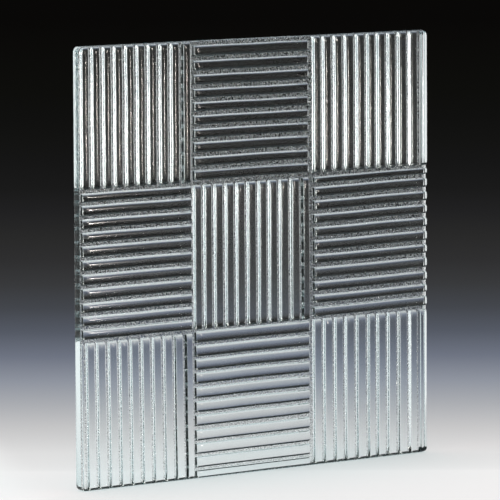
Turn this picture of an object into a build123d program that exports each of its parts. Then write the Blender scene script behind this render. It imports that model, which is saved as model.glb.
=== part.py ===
from build123d import *
from math import radians, tan
import os

# A square panel of clear kiln-formed glass, cast in one piece. Its back is flat and its front is set out
# in nine fields of flat-topped ribs: upright in the corners and the middle, level in the four between.
# Millimetres. +X runs along the panel, -Y is the ribbed front and +Z is up. The origin is the middle of
# the bottom edge, halfway through the overall thickness.

panel_width = 305.0  # along X
panel_height = 305.0  # along Z
sheet_thickness = 6.9  # from the back to the floor of the grooves
corner_radius = 4.0  # of the four corners, seen from the front
back_arris = 1.2  # fire-polished edge round the back
front_arris = 0.4  # the same round the front, which the ribs nearly reach
edge_margin = 0.6  # plain glass between the panel's edge and the feet of the outermost ribs

rib_height = 3.1  # above the floor of the grooves
wall_draft = 10.0  # degrees that the ribs' walls lean in
shoulder_radius = 1.4  # along both sides of a rib's top
end_radius = 3.0  # where a rib's top rolls down to its ends
crown_rise = 0.12  # how far the middle of a rib's top stands above its shoulders
least_rib_width = 1.5  # where less is left over at the side of a field, it stays plain
rib_root = 1.0  # how far a rib reaches into the sheet that it is one with

left_column = 93.2  # width of the left fields, from foot to foot
left_gap = 2.2  # plain groove between the left and middle fields
middle_column = 100.8
right_gap = 4.0
bottom_row = 102.4
lower_gap = 1.8
middle_row = 100.4
upper_gap = 2.4

# The hand-laid ribs differ from field to field. In each table the bottom row of fields comes first.
upright_fields = ((True, False, True), (False, True, False), (True, False, True))
rib_pitch = ((9.4, 9.75, 9.65), (9.5, 9.5, 9.5), (9.6, 9.55, 9.75))
rib_width = ((7.3, 7.8, 7.5), (7.3, 7.2, 6.9), (7.1, 6.8, 7.3))
first_rib = ((3.8, 7.1, 0.2), (0.0, 0.0, 1.4), (0.0, 0.8, 0.0))  # from the left or bottom of the field

panel_thickness = sheet_thickness + rib_height
groove_floor = sheet_thickness - panel_thickness / 2  # how far the floor lies in front of the origin
columns = ((edge_margin, left_column), (edge_margin + left_column + left_gap, middle_column))
columns += ((columns[1][0] + middle_column + right_gap, None),)
rows = ((edge_margin, bottom_row), (edge_margin + bottom_row + lower_gap, middle_row))
rows += ((rows[1][0] + middle_row + upper_gap, None),)


def sheet():
    """The flat sheet with round corners and fire-polished edges, standing on the origin's plane."""
    outline = Plane.XZ * Pos(0, panel_height / 2) * RectangleRounded(panel_width, panel_height, corner_radius)
    blank = Pos(0, panel_thickness / 2, 0) * extrude(outline, amount=sheet_thickness)
    back = fillet(blank.faces().sort_by(Axis.Y)[-1].edges(), back_arris)
    return fillet(back.faces().sort_by(Axis.Y)[0].edges(), front_arris)


def profile(width, height, shoulder, crown):
    """The outline of a rib seen along or across it, with its root: drafted walls and rounded shoulders."""
    foot, lean = width / 2, height * tan(radians(wall_draft))
    edge, top = foot - lean, height - crown
    wall = Polyline((-edge, top), (-foot, 0), (-foot, -rib_root), (foot, -rib_root), (foot, 0), (edge, top))
    roof = ThreePointArc((edge, top), (0, height), (-edge, top)) if crown else Line((edge, top), (-edge, top))
    outline = make_face([wall, roof])
    return fillet(outline.vertices().group_by(Axis.Y)[-1], shoulder)


def rib(length, width):
    """A flat-topped rib with rounded ends, along X and centred, standing up along Z from its root."""
    height = min(rib_height, 0.7 * width)
    shoulder = min(shoulder_radius, 0.25 * width)
    section = profile(width, height, shoulder, min(crown_rise, 0.02 * width))
    side_view = profile(length, height, min(end_radius, 0.9 * height), 0)
    return extrude(Plane.YZ * section, amount=length / 2, both=True) & extrude(Plane.XZ * side_view, amount=width / 2, both=True)


def feet(span, pitch, width, first):
    """Where each rib's two feet lie across a field, with what is left over at its sides."""
    laid = []
    low = first - pitch
    while low < span:
        left, right = max(low, 0.0), min(low + width, span)
        if right - left >= least_rib_width:
            laid.append((left, right))
        low += pitch
    return laid


def field_ribs(column, row):
    """The ribs of one field, on the front of the sheet."""
    low_x, wide = columns[column]
    low_z, high = rows[row]
    wide = wide or panel_width - edge_margin - low_x
    high = high or panel_height - edge_margin - low_z
    low_x -= panel_width / 2
    upright = upright_fields[row][column]
    span, length = (wide, high) if upright else (high, wide)
    ribs = []
    for left, right in feet(span, rib_pitch[row][column], rib_width[row][column], first_rib[row][column]):
        if upright:
            place = Plane((low_x + (left + right) / 2, -groove_floor, low_z + high / 2), x_dir=(0, 0, 1), z_dir=(0, -1, 0))
        else:
            place = Plane((low_x + wide / 2, -groove_floor, low_z + (left + right) / 2), x_dir=(1, 0, 0), z_dir=(0, -1, 0))
        ribs.append(place * rib(length, right - left))
    return ribs


def glass_panel():
    """The sheet and all its ribs as one casting, the ribs kept inside the panel's round corners."""
    inner = Plane.XZ * Pos(0, panel_height / 2) * RectangleRounded(
        panel_width - 2 * edge_margin, panel_height - 2 * edge_margin, corner_radius - edge_margin
    )
    flat = extrude(inner, amount=panel_thickness, both=True)
    ribs = [one & flat for row in range(3) for column in range(3) for one in field_ribs(column, row)]
    return sheet() + ribs


os.makedirs("parts", exist_ok=True)
export_step(glass_panel(), "parts/glass_panel.step")
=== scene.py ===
import math

import bmesh
import bpy
from mathutils import Matrix, Vector
from mathutils.geometry import delaunay_2d_cdt


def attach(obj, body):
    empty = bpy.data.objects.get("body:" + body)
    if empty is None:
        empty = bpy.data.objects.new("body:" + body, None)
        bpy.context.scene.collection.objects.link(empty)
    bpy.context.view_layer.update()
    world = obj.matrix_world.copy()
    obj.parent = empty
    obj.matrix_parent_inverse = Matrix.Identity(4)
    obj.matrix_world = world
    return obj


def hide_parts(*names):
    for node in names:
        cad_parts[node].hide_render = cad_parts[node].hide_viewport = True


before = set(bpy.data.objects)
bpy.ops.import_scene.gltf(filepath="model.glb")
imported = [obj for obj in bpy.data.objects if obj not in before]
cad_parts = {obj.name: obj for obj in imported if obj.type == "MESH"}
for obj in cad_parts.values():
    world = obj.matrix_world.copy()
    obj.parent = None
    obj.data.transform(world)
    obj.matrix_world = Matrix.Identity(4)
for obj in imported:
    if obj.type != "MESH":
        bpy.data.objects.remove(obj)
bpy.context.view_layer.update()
mm = 0.001


def report(words):
    print("scene:", words)


def linear(hexColour):
    channels = [int(hexColour[n:n + 2], 16) / 255 for n in (1, 3, 5)]
    return [c / 12.92 if c <= 0.04045 else ((c + 0.055) / 1.055) ** 2.4 for c in channels] + [1.0]


def addNode(tree, kind, settings=None, links=None):
    node = tree.nodes.new(kind)
    for name, value in (settings or {}).items():
        if name in node.inputs.keys() or isinstance(name, int):
            node.inputs[name].default_value = value
        else:
            setattr(node, name, value)
    for name, source in (links or {}).items():
        tree.links.new(source, node.inputs[name])
    return node


def newMaterial(name):
    material = bpy.data.materials.new(name)
    material.use_nodes = True
    material.node_tree.nodes.clear()
    return material, material.node_tree


# Camera: a long lens from the front left, a little above the panel.
view = {
    "place": (-2.04256, -2.67520, 0.50421),  # metres
    "turn": 37.292,  # degrees from straight ahead, to the right
    "down": 5.902,  # degrees below level
    "roll": -0.222,  # degrees
    "lens": 347.7,  # on a 36 mm wide sensor
}

cameraData = bpy.data.cameras.new("camera")
cameraData.lens, cameraData.sensor_width = view["lens"], 36.0
cameraData.clip_end = 100.0
camera = bpy.data.objects.new("camera", cameraData)
camera.matrix_world = (
    Matrix.Translation(view["place"])
    @ Matrix.Rotation(math.radians(-view["turn"]), 4, "Z")
    @ Matrix.Rotation(math.radians(90 - view["down"]), 4, "X")
    @ Matrix.Rotation(math.radians(view["roll"]), 4, "Z")
)
bpy.context.collection.objects.link(camera)
bpy.context.scene.camera = camera
bpy.context.scene.view_settings.view_transform = "Standard"
report("camera set")


# The panel is modelled lying on its back with its ribs up, its lower left corner at the origin,
# and stood on its bottom edge at the end. Millimetres.
sheet = {
    "width": 305.0,
    "height": 305.0,
    "thickness": 6.9,  # from the back to the floor of the grooves
    "cornerRadius": 4.0,
    "cornerSteps": 10,
    "backArris": 1.2,  # fire-polished edges
    "frontArris": 0.4,
    "arrisSteps": 4,
    "flatMargin": 0.1,  # a strip just inside the arris that keeps the shading of the faces flat
    "fieldInset": 0.04,  # from that strip to the nearest that a field may come
}

ribs = {
    "height": 3.1,
    "crownRadius": 20.0,  # of the gently round top
    "crownSteps": 5,
    "shoulderRadius": 1.4,
    "shoulderSteps": 5,
    "wallAngle": 80,  # degrees from the groove floor
    "modelWidth": 7.3,  # of the rib that each field's ribs are copied from
    "fullWidth": 4.0,  # a narrower rib is lower
    "endLength": 10.0,  # over which a rib's crown falls at its ends
    "endPower": 6.0,  # 2 is a quarter ellipse, more falls later and more steeply
    "endShares": (0, 0.01, 0.04, 0.1, 0.2, 0.33, 0.5, 0.7, 1),  # where the lines across an end lie
    "footMargin": 0.12,  # keeps the shading of the groove floor flat beside a rib
    "groove": 2.3,  # between the ribs of a copy, before they take their own feet
    "border": 0.25,  # of groove floor that is modelled with a field, all round its ribs
    "rowSpacing": 4.5,  # of the lines across a rib, so that it can wander
    "wander": 0.2,  # how far a rib strays to either side
    "wanderScale": 30.0,  # length of the wander's waves
}

# Each field: the ribs' two ends, how far their high end leans, and each rib's two feet. Millimetres from
# the panel's lower left corner.
fields = {
    "topLeft": {"upright": True, "ends": (207.2, 304.3), "lean": 0.0, "feet": (
        (0.65, 7.5), (9.7, 17.0), (19.3, 26.3), (28.5, 35.9), (38.2, 45.5), (47.8, 54.9),
        (57.2, 64.8), (67.1, 74.3), (76.6, 84.0), (86.3, 93.6))},
    "topMiddle": {"upright": False, "ends": (95.8, 196.4), "lean": 0.0, "feet": (
        (208.4, 215.5), (218.2, 224.8), (227.6, 234.9), (237.7, 244.1), (246.9, 253.4), (256.2, 262.6),
        (265.4, 271.9), (274.7, 281.7), (284.5, 291.5), (294.3, 302.0))},
    "topRight": {"upright": True, "ends": (208.0, 304.3), "lean": -0.3, "feet": (
        (200.8, 207.5), (209.6, 217.2), (219.5, 227.0), (229.3, 237.5), (239.8, 247.4), (249.7, 256.5),
        (258.7, 266.0), (268.3, 275.5), (277.8, 285.6), (287.9, 295.7), (298.1, 304.35))},
    "middleLeft": {"upright": False, "ends": (0.65, 94.2), "lean": 0.3, "feet": (
        (104.5, 111.6), (113.9, 120.6), (122.8, 129.7), (131.9, 139.8), (142.0, 149.5), (151.7, 159.0),
        (161.2, 168.8), (171.0, 178.2), (180.4, 187.2), (189.4, 196.6), (198.7, 204.9))},
    "centre": {"upright": True, "ends": (104.5, 205.0), "lean": -0.4, "feet": (
        (95.9, 102.5), (104.8, 111.5), (113.8, 121.2), (123.5, 130.6), (132.9, 140.3), (142.6, 150.1),
        (152.4, 159.3), (161.5, 168.7), (171.0, 178.8), (181.0, 188.6), (190.9, 197.4))},
    "middleRight": {"upright": False, "ends": (201.2, 304.3), "lean": 1.0, "feet": (
        (105.9, 113.0), (115.7, 121.6), (124.3, 131.0), (133.7, 141.2), (143.9, 150.3), (153.1, 160.4),
        (163.1, 169.8), (172.6, 179.1), (181.8, 188.7), (191.4, 198.4), (200.9, 205.6))},
    "bottomLeft": {"upright": True, "ends": (0.65, 102.0), "lean": -1.1, "feet": (
        (0.65, 2.4), (4.3, 11.3), (13.1, 20.5), (22.9, 30.2), (32.3, 39.4), (41.5, 48.6),
        (51.0, 58.2), (60.4, 67.7), (70.0, 77.2), (79.2, 86.4), (88.6, 94.6))},
    "bottomMiddle": {"upright": False, "ends": (96.7, 197.2), "lean": 0.4, "feet": (
        (0.65, 5.9), (7.7, 15.6), (17.2, 25.1), (26.6, 34.5), (36.9, 44.8), (46.5, 54.4),
        (56.4, 64.3), (66.5, 74.6), (76.1, 84.0), (85.5, 93.4), (95.2, 103.3))},
    "bottomRight": {"upright": True, "ends": (0.65, 103.9), "lean": -0.3, "feet": (
        (200.9, 208.1), (210.4, 218.0), (220.3, 227.5), (229.8, 237.8), (240.1, 248.2), (250.5, 256.6),
        (258.9, 266.2), (268.5, 276.0), (278.3, 286.1), (288.4, 295.1), (297.4, 304.35))},
}


def startEdit(piece):
    bpy.ops.object.select_all(action="DESELECT")
    bpy.context.view_layer.objects.active = piece
    piece.select_set(True)
    bpy.ops.object.mode_set(mode="EDIT")
    bpy.ops.mesh.select_mode(type="VERT")
    bpy.ops.mesh.select_all(action="DESELECT")


def selectWhere(piece, kind, wanted):
    bpy.ops.mesh.select_mode(type=kind)
    shape = bmesh.from_edit_mesh(piece.data)
    parts = {"VERT": shape.verts, "EDGE": shape.edges, "FACE": shape.faces}[kind]
    for part in (shape.faces, shape.edges, shape.verts):
        for one in part:
            one.select = False
    for one in parts:
        if wanted(one):
            one.select_set(True)
    bmesh.update_edit_mesh(piece.data)


def ribSection(width):
    # place and height of each line of a strip: half a groove, then the rib from foot to crown and back
    wall, shoulder, crown = math.radians(ribs["wallAngle"]), ribs["shoulderRadius"], ribs["crownRadius"]
    edge, steps = math.asin((width / 2 - shoulder) / crown), ribs["crownSteps"]
    half = [(crown * math.sin(edge * n / steps), crown * (math.cos(edge * n / steps) - 1))
            for n in range(steps + 1)]
    x, z = half[-1]
    for n in range(1, ribs["shoulderSteps"] + 1):
        angle = edge + (wall - edge) * n / ribs["shoulderSteps"]
        half.append((x + shoulder * (math.sin(angle) - math.sin(edge)),
                     z + shoulder * (math.cos(angle) - math.cos(edge))))
    x, z = half[-1]
    reach = x + (ribs["height"] + z) / math.tan(wall)
    middle = (width + ribs["groove"]) / 2
    side = [(0.0, 0.0), (ribs["groove"] / 2 - ribs["footMargin"], 0.0), (ribs["groove"] / 2, 0.0)]
    side += [(middle - x * width / 2 / reach, ribs["height"] + z) for x, z in reversed(half)]
    return side + [(2 * middle - x, z) for x, z in reversed(side[:-1])]


def ribLines(length):
    # distance from a rib's end and share of its full height at each line across it
    power = ribs["endPower"]
    lines = [(-ribs["border"], 0.0), (-ribs["footMargin"], 0.0)]
    for share in ribs["endShares"]:
        lines.append((share * ribs["endLength"], (1 - (1 - share) ** power) ** (1 / power)))
    inner = length - 2 * lines[-1][0]
    count = round(inner / ribs["rowSpacing"])
    middle = [(lines[-1][0] + inner * n / count, 1.0) for n in range(1, count)]
    return lines + middle + [(length - y, share) for y, share in reversed(lines)]


def makeStrip(width, length):
    # one rib with half a groove round it, from a flat grid whose lines are moved into place
    section, lines = ribSection(width), ribLines(length)
    across, along = len(section), len(lines)
    bpy.ops.object.select_all(action="DESELECT")
    bpy.ops.mesh.primitive_grid_add(x_subdivisions=across - 1, y_subdivisions=along - 1, size=mm)
    strip = bpy.context.object
    startEdit(strip)
    for n, (x, z) in enumerate(section):
        selectWhere(strip, "VERT", lambda v: v.index % across == n)
        bpy.ops.transform.translate(value=((x - n / (across - 1) + 0.5) * mm, 0, z * mm))
    for n, (y, share) in enumerate(lines):
        selectWhere(strip, "VERT", lambda v: v.index // across == n)
        bpy.ops.transform.translate(value=(0, (y - n / (along - 1) + 0.5) * mm, 0))
        if share < 1:
            bpy.ops.transform.resize(value=(1, 1, share), center_override=(0, 0, 0))
    bpy.ops.object.mode_set(mode="OBJECT")
    return strip


def joinPieces(pieces, name):
    bpy.ops.object.select_all(action="DESELECT")
    for piece in pieces:
        piece.select_set(True)
    bpy.context.view_layer.objects.active = pieces[0]
    bpy.ops.object.join()
    pieces[0].name = pieces[0].data.name = name
    return pieces[0]


def wander(piece):
    clouds = bpy.data.textures.new("wander", "CLOUDS")
    clouds.noise_scale, clouds.noise_depth = ribs["wanderScale"] * mm, 0
    shift = piece.modifiers.new("wander", "DISPLACE")
    shift.texture, shift.direction = clouds, "X"
    shift.strength = 2 * ribs["wander"] * mm
    bpy.ops.object.modifier_apply(modifier=shift.name)


def between(value, before, after):
    # the place in after that matches the value's place in before
    n = max(k for k in range(len(before) - 1) if value >= before[k] - 1e-6)
    return after[n] + (value - before[n]) / (before[n + 1] - before[n]) * (after[n + 1] - after[n])


def keepOnFace(piece):
    # what leans or wanders past the flat of the panel's front stops at its edge, and its corners turn round
    inset = sheet["frontArris"] + sheet["flatMargin"] + sheet["fieldInset"]
    low, highX, highY = inset * mm, (sheet["width"] - inset) * mm, (sheet["height"] - inset) * mm
    radius = (sheet["cornerRadius"] - inset) * mm
    for vertex in piece.data.vertices:
        x, y = min(max(vertex.co.x, low), highX), min(max(vertex.co.y, low), highY)
        centreX = min(max(x, low + radius), highX - radius)
        centreY = min(max(y, low + radius), highY - radius)
        across, up = (x - centreX) / radius, (y - centreY) / radius
        vertex.co.x = centreX + across * radius * math.sqrt(1 - up * up / 2)
        vertex.co.y = centreY + up * radius * math.sqrt(1 - across * across / 2)


def mergeDoubles(piece):
    startEdit(piece)
    bpy.ops.mesh.select_all(action="SELECT")
    bpy.ops.mesh.remove_doubles(threshold=0.02 * mm)
    bpy.ops.object.mode_set(mode="OBJECT")


def makeField(name):
    field = fields[name]
    feet, (lowEnd, highEnd), groove = field["feet"], field["ends"], ribs["groove"]
    length, modelWidth = highEnd - lowEnd, ribs["modelWidth"]
    seams = [feet[0][0] - ribs["border"]]
    seams += [(before[1] + after[0]) / 2 for before, after in zip(feet, feet[1:])]
    seams.append(feet[-1][1] + ribs["border"])
    model = makeStrip(modelWidth, length)
    marks = [0, groove / 2, groove / 2 + modelWidth, groove + modelWidth]
    strips = []
    for start, (left, right), end in zip(seams, feet, seams[1:]):
        strip = bpy.data.objects.new("strip", model.data.copy())
        for vertex in strip.data.vertices:
            vertex.co.x = between(vertex.co.x / mm, marks, [start, left, right, end]) * mm
            vertex.co.z *= min(1, (right - left) / ribs["fullWidth"])
        strip.data.transform(Matrix.Translation((0, lowEnd * mm, 0)))
        bpy.context.collection.objects.link(strip)
        strips.append(strip)
    bpy.data.objects.remove(model)
    piece = joinPieces(strips, name)
    mergeDoubles(piece)
    middle, slope = (lowEnd + highEnd) / 2 * mm, field["lean"] / length
    lean = Matrix(((1, slope, 0, -slope * middle), (0, 1, 0, 0), (0, 0, 1, 0), (0, 0, 0, 1)))
    piece.data.transform(lean)
    wander(piece)
    if not field["upright"]:
        levelled = Matrix(((0, 1, 0, 0), (1, 0, 0, 0), (0, 0, 1, 0), (0, 0, 0, 1)))  # X and Y change places
        piece.data.transform(levelled)
    keepOnFace(piece)
    mergeDoubles(piece)
    return piece


def makeSheet():
    wide, high, thick = sheet["width"] * mm, sheet["height"] * mm, sheet["thickness"] * mm
    bpy.ops.object.select_all(action="DESELECT")
    bpy.ops.mesh.primitive_cube_add(
        size=1, location=(wide / 2, high / 2, -thick / 2), scale=(wide, high, thick)
    )
    blank = bpy.context.object
    bpy.ops.object.transform_apply(location=True, rotation=True, scale=True)
    startEdit(blank)
    selectWhere(blank, "EDGE", lambda e: abs(e.verts[0].co.z - e.verts[1].co.z) > thick / 2)
    bpy.ops.mesh.bevel(offset=sheet["cornerRadius"] * mm, segments=sheet["cornerSteps"], affect="EDGES")
    for arris, level in (("backArris", -thick), ("frontArris", 0)):
        selectWhere(blank, "EDGE", lambda e: all(abs(v.co.z - level) < 1e-6 for v in e.verts))
        bpy.ops.mesh.bevel(offset=sheet[arris] * mm, segments=sheet["arrisSteps"], affect="EDGES")
    for front in (False, True):
        selectWhere(blank, "FACE", lambda f: abs(f.normal.z) > 0.999 and (f.normal.z > 0) == front)
        bpy.ops.mesh.inset(thickness=sheet["flatMargin"] * mm)
    bpy.ops.mesh.delete(type="ONLY_FACE")
    bpy.ops.object.mode_set(mode="OBJECT")
    return blank


def borderLoops(shape):
    # the open borders of the sheet and the fields, each as a ring of points that runs anticlockwise
    left = {v for v in shape.verts if v.is_boundary}
    loops = []
    while left:
        loop = [left.pop()]
        while True:
            near = [e.other_vert(loop[-1]) for e in loop[-1].link_edges if e.is_boundary]
            near = [v for v in near if v in left]
            if not near:
                break
            loop.append(near[0])
            left.remove(near[0])
        area = sum(v.co.x * w.co.y - w.co.x * v.co.y for v, w in zip(loop, loop[1:] + loop[:1]))
        loops.append(loop if area > 0 else loop[::-1])
    return loops


def closeFront(piece):
    # the groove floor round the fields: triangles between their borders and the sheet's edge
    shape = bmesh.new()
    shape.from_mesh(piece.data)
    loops = borderLoops(shape)
    rim = [v for loop in loops for v in loop]
    place = {v: n for n, v in enumerate(rim)}
    rings = [[place[v] for v in loop] for loop in loops]
    withHoles = 2
    filled = delaunay_2d_cdt([v.co.xy for v in rim], [], rings, withHoles, 1e-9)
    if len(filled[0]) != len(rim):
        report("two borders cross")
    for corners in filled[2]:
        shape.faces.new([rim[filled[3][n][0]] for n in corners])
    shape.to_mesh(piece.data)
    shape.free()


def makePanel():
    relief = [makeField(name) for name in fields]
    report("nine fields of ribs made")
    piece = joinPieces([makeSheet()] + relief, "glassPanel")
    closeFront(piece)
    startEdit(piece)
    bpy.ops.mesh.select_all(action="SELECT")
    bpy.ops.mesh.normals_make_consistent(inside=False)
    selectWhere(piece, "EDGE", lambda e: not e.is_manifold)
    openEdges = sum(e.select for e in bmesh.from_edit_mesh(piece.data).edges)
    bpy.ops.object.mode_set(mode="OBJECT")
    groovesFromMiddle = (sheet["thickness"] - ribs["height"]) / 2 * mm
    lift = Matrix.Translation((-sheet["width"] / 2 * mm, 0, groovesFromMiddle))
    piece.data.transform(Matrix.Rotation(math.pi / 2, 4, "X") @ lift)
    bpy.ops.object.shade_smooth()
    triangles = sum(len(face.vertices) - 2 for face in piece.data.polygons)
    report(f"glass panel made: {triangles} triangles, {openEdges} open edges")
    return piece


glassPanel = makePanel()
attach(glassPanel, "root")
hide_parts("glass_panel")


glassLook = {
    "tint": "#ffffff",
    "sheen": "#747474",  # tones its reflections down, as real glass has no such tint
    "depthTint": "#00d4df",  # aqua, as the light that crosses much glass shows it
    "depthDensity": 7.0,
    "smooth": 0.07,  # roughness of the fire-polished glass
    "mouldRough": 0.4,  # roughness of the pits
    "mouldLevel": (-0.0024, -0.0020),  # metres along Y, from smooth walls to the moulded floor of the grooves
    "frontLimit": -0.0015,  # metres along Y, and only the glass in front of it took the mould's grain
    "grain": 1.7,  # mm between the pits
    "fineGrain": 0.6,
    "fineShare": 0.25,  # of the fine grain, added to the pits
    "pitDepth": 0.38,  # mm
    "frostFrom": (0.57, 0.67),  # height of the grain, from smooth to pitted
    "lampLight": "#eef4f4",  # share of the light that crosses the glass to the floor
}


def clearGlass():
    # kiln-formed soda-lime glass: clear with an aqua cast in its depth, glossy and smooth on the ribs, and
    # speckled with rough pits in the grooves, where it took the grain of the mould
    material, tree = newMaterial("kilnFormedGlass")
    place = addNode(tree, "ShaderNodeTexCoord").outputs["Object"]
    level = addNode(tree, "ShaderNodeSeparateXYZ", {}, {0: place}).outputs["Y"]
    lowLevel, highLevel = glassLook["mouldLevel"]
    moulded = addNode(tree, "ShaderNodeMapRange", {
        "interpolation_type": "SMOOTHSTEP", "From Min": lowLevel, "From Max": highLevel,
    }, {"Value": level})
    front = addNode(tree, "ShaderNodeMath", {"operation": "LESS_THAN", 1: glassLook["frontLimit"]},
                    {0: level})
    moulded = addNode(tree, "ShaderNodeMath", {"operation": "MULTIPLY"},
                      {0: moulded.outputs[0], 1: front.outputs[0]})

    pits = addNode(tree, "ShaderNodeTexNoise", {
        "Scale": 1000 / glassLook["grain"], "Detail": 1.0, "Roughness": 0.6,
    }, {"Vector": place})
    fine = addNode(tree, "ShaderNodeTexNoise", {
        "Scale": 1000 / glassLook["fineGrain"], "Detail": 0.0,
    }, {"Vector": place})
    grain = addNode(tree, "ShaderNodeMath", {"operation": "MULTIPLY_ADD", 1: glassLook["fineShare"]},
                    {0: fine.outputs[0], 2: pits.outputs[0]})
    smoothBelow, pittedAbove = glassLook["frostFrom"]
    frosted = addNode(tree, "ShaderNodeMapRange", {
        "interpolation_type": "SMOOTHSTEP", "From Min": smoothBelow, "From Max": pittedAbove,
    }, {"Value": grain.outputs[0]})
    frosted = addNode(tree, "ShaderNodeMath", {"operation": "MULTIPLY"},
                      {0: frosted.outputs[0], 1: moulded.outputs[0]})

    bump = addNode(tree, "ShaderNodeBump", {"Strength": 1.0, "Distance": glassLook["pitDepth"] * mm},
                   {"Height": frosted.outputs[0]})
    rough = addNode(tree, "ShaderNodeMapRange", {
        "To Min": glassLook["smooth"], "To Max": glassLook["mouldRough"],
    }, {"Value": frosted.outputs[0]})
    glass = addNode(tree, "ShaderNodeBsdfPrincipled", {
        "Base Color": linear(glassLook["tint"]), "IOR": 1.52, "Transmission Weight": 1.0,
        "Specular Tint": linear(glassLook["sheen"]),
    }, {"Roughness": rough.outputs[0], "Normal": bump.outputs[0]})

    # lamps reach the floor through the glass, and the floor is lit as if the glass were hardly there
    lampsThrough = addNode(tree, "ShaderNodeBsdfTransparent", {"Color": linear(glassLook["lampLight"])})
    light = addNode(tree, "ShaderNodeLightPath")
    toFloor = addNode(tree, "ShaderNodeMath", {"operation": "MAXIMUM"},
                      {0: light.outputs["Is Shadow Ray"], 1: light.outputs["Is Diffuse Ray"]})
    mix = addNode(tree, "ShaderNodeMixShader", {},
                  {0: toFloor.outputs[0], 1: glass.outputs[0], 2: lampsThrough.outputs[0]})
    depth = addNode(tree, "ShaderNodeVolumeAbsorption", {
        "Color": linear(glassLook["depthTint"]), "Density": glassLook["depthDensity"],
    })
    addNode(tree, "ShaderNodeOutputMaterial", {}, {"Surface": mix.outputs[0], "Volume": depth.outputs[0]})
    return material


glassPanel.data.materials.clear()
glassPanel.data.materials.append(clearGlass())
report("glass finished")


# Stage: a pale floor with painted shade in it behind the panel: a dark grade that stands in for the light
# falling off into a dark room, as clear glass takes its look from what stands behind and beside it. Metres.
stage = {
    "size": 60.0,
    "gap": 0.0001,  # under the panel, so that light crosses its bottom face to the floor
    "pale": "#f8f8f8",  # the floor beside the backdrop
    "turn": 37.3,  # degrees that the middle line of the painted shade turns to the right
    "apex": 0.8,  # how far the crossing of its two sides lies in front of the panel
    "leftSide": (-0.25, -0.19),  # from pale to painted shade, sideways for each metre from the crossing
    "rightSide": (0.52, 0.42),
    "reach": 6.0,  # behind the panel, where the shades end
    "paintedShades": (  # distance behind the panel, and the painted shade there, darker with distance as the light falls off
        (0.0, "#f5f2f2"), (0.09, "#e4e2e2"), (0.215, "#c9c8c9"), (0.35, "#abadb2"), (0.49, "#8f949f"),
        (0.65, "#6e7482"), (0.82, "#555a65"), (1.0, "#44474d"), (1.2, "#393a3c"), (1.41, "#303031"),
        (1.65, "#2a2a2a"), (1.92, "#222223"), (2.21, "#1b1b1b"), (2.54, "#171717"), (2.9, "#141413"),
        (3.3, "#111110"), (3.8, "#0f0f0d"), (5.7, "#0a0908"),
    ),
    "dark": "#1e2425",  # the room as the camera and the glass see it
    "ambient": 0.9,  # even light of the room on all that is matt
}

lamps = {  # radiance 1 shows as white
    "topSoftbox": {"place": (0.3, 0.4, 2.6), "size": (1.0, 1.0), "radiance": 2, "colour": "#ffffff"},
    # small and bright, for the thin lines of light along the ribs
    "lowLamp": {"place": (1.202, -1.961, 0.078), "size": (0.05, 0.14), "radiance": 200, "colour": "#fff4ec"},
    "highLamp": {"place": (1.723, -3.046, 0.48), "size": (0.08, 0.4), "radiance": 250, "colour": "#fff4ec"},
}
lampTarget = (0, 0, 0.15)


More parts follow.
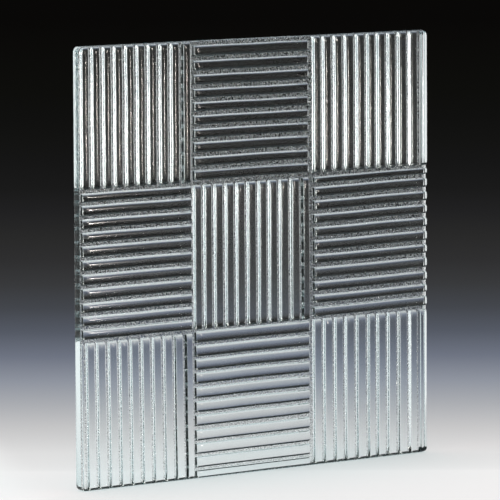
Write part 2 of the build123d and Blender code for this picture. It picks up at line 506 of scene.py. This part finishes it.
def makeFloor():
    bpy.ops.object.select_all(action="DESELECT")
    bpy.ops.mesh.primitive_circle_add(
        vertices=64, radius=stage["size"] / 2, fill_type="NGON", location=(0, 0, -stage["gap"])
    )
    floor = bpy.context.object
    floor.name = "floor"
    # matt paper without shine, its colour carrying painted shade behind the panel
    material, tree = newMaterial("mattPaper")
    place = addNode(tree, "ShaderNodeTexCoord")
    turned = addNode(tree, "ShaderNodeVectorRotate", {
        "rotation_type": "Z_AXIS", "Angle": math.radians(stage["turn"]),
    }, {"Vector": place.outputs["Object"]})
    along = addNode(tree, "ShaderNodeSeparateXYZ", {}, {0: turned.outputs[0]})

    # the ramp of painted shade runs with the square root of the distance, so that its near tones have room on
    # it
    share = addNode(tree, "ShaderNodeMath", {"operation": "DIVIDE", 1: stage["reach"], "use_clamp": True},
                    {0: along.outputs["Y"]})
    root = addNode(tree, "ShaderNodeMath", {"operation": "SQRT"}, {0: share.outputs[0]})
    ramp = addNode(tree, "ShaderNodeValToRGB", {}, {0: root.outputs[0]})
    stops = ramp.color_ramp.elements
    while len(stops) > 1:
        stops.remove(stops[-1])
    for n, (distance, shade) in enumerate(stage["paintedShades"]):
        position = math.sqrt(distance / stage["reach"])
        stop = stops[0] if n == 0 else stops.new(position)
        stop.position, stop.color = position, linear(shade)

    # distance to the right of the painted shade's middle line, for each metre from the crossing of its sides
    depth = addNode(tree, "ShaderNodeMath", {"operation": "ADD", 1: stage["apex"]}, {0: along.outputs["Y"]})
    depth = addNode(tree, "ShaderNodeMath", {"operation": "MAXIMUM", 1: 0.001}, {0: depth.outputs[0]})
    side = addNode(tree, "ShaderNodeMath", {"operation": "DIVIDE"},
                   {0: along.outputs["X"], 1: depth.outputs[0]})

    def fade(edge):
        return addNode(tree, "ShaderNodeMapRange", {
            "interpolation_type": "SMOOTHSTEP", "From Min": edge[0], "From Max": edge[1],
        }, {"Value": side.outputs[0]}).outputs[0]

    # where the painted shade lies on the floor: a wedge behind the panel, pale floor outside it
    paintedShadeMask = addNode(tree, "ShaderNodeMath", {"operation": "MULTIPLY"},
                       {0: fade(stage["leftSide"]), 1: fade(stage["rightSide"])})
    # 6 and 7 are the two colours that this node mixes: the pale floor and the painted shade
    colour = addNode(tree, "ShaderNodeMix", {"data_type": "RGBA", 6: linear(stage["pale"])},
                     {0: paintedShadeMask.outputs[0], 7: ramp.outputs["Color"]})
    paper = addNode(tree, "ShaderNodeBsdfDiffuse", {}, {"Color": colour.outputs[2]})
    addNode(tree, "ShaderNodeOutputMaterial", {}, {"Surface": paper.outputs[0]})
    floor.data.materials.append(material)


def makeWorld():
    world = bpy.data.worlds.new("studio")
    bpy.context.scene.world = world
    world.use_nodes = True
    tree = world.node_tree
    tree.nodes.clear()
    light = addNode(tree, "ShaderNodeLightPath")
    seen = addNode(tree, "ShaderNodeMath", {"operation": "MAXIMUM"},
                   {0: light.outputs["Is Camera Ray"], 1: light.outputs["Is Glossy Ray"]})
    seen = addNode(tree, "ShaderNodeMath", {"operation": "MAXIMUM"},
                   {0: seen.outputs[0], 1: light.outputs["Is Transmission Ray"]})
    room = addNode(tree, "ShaderNodeBackground", {"Color": (1, 1, 1, 1), "Strength": stage["ambient"]})
    dark = addNode(tree, "ShaderNodeBackground", {"Color": linear(stage["dark"]), "Strength": 1.0})
    mix = addNode(tree, "ShaderNodeMixShader", {},
                  {0: seen.outputs[0], 1: room.outputs[0], 2: dark.outputs[0]})
    addNode(tree, "ShaderNodeOutputWorld", {}, {"Surface": mix.outputs[0]})


def makeLamp(name):
    place, (wide, high) = Vector(lamps[name]["place"]), lamps[name]["size"]
    data = bpy.data.lights.new(name, "AREA")
    data.shape, data.size, data.size_y = "RECTANGLE", wide, high
    data.energy = lamps[name]["radiance"] * math.pi * wide * high
    data.color = linear(lamps[name]["colour"])[:3]
    lamp = bpy.data.objects.new(name, data)
    lamp.location = place
    lamp.rotation_euler = (place - Vector(lampTarget)).to_track_quat("Z", "Y").to_euler()
    lamp.visible_camera = False
    bpy.context.collection.objects.link(lamp)


makeFloor()
makeWorld()
for name in lamps:
    makeLamp(name)
report("floor, world and lamps made")
